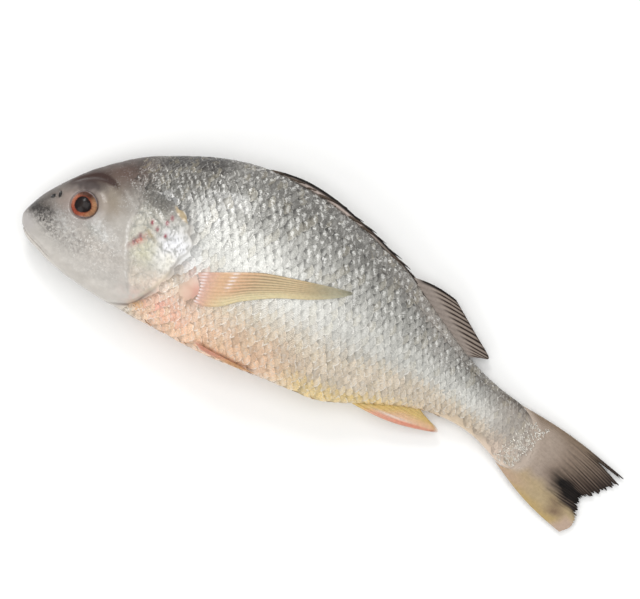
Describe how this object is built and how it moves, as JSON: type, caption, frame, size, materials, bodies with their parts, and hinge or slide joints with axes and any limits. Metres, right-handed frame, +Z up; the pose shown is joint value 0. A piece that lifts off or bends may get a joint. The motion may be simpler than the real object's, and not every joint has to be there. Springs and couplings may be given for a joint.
{
  "type": "whole raw fish",
  "caption": "Whole raw silver grunt lying on its right flank, with scaled body, eyes and fins folded as on a fishmonger's slab.",
  "frame": {"origin": "middle of the flat patch under the right flank on which the fish rests", "axes": "+X from the snout to the tail, +Y from the belly to the back, +Z up to the fish's left side"},
  "size_m": [0.329, 0.1033, 0.0452],
  "materials": {
    "scaled_skin": "wet silver scales, satin",
    "eyeball": "wet, glossy",
    "dark_fin": "damp membrane, satin",
    "amber_fin": "damp membrane, satin"
  },
  "bodies": {
    "root": {"body": "scaled_skin", "eye_left": "eyeball", "eye_right": "eyeball", "back_fin": "dark_fin", "tail_fin": "dark_fin", "vent_fin": "amber_fin", "breast_fin_left": "amber_fin", "breast_fin_right": "amber_fin", "belly_fin_left": "amber_fin", "belly_fin_right": "amber_fin"}
  },
  "joints": []
}
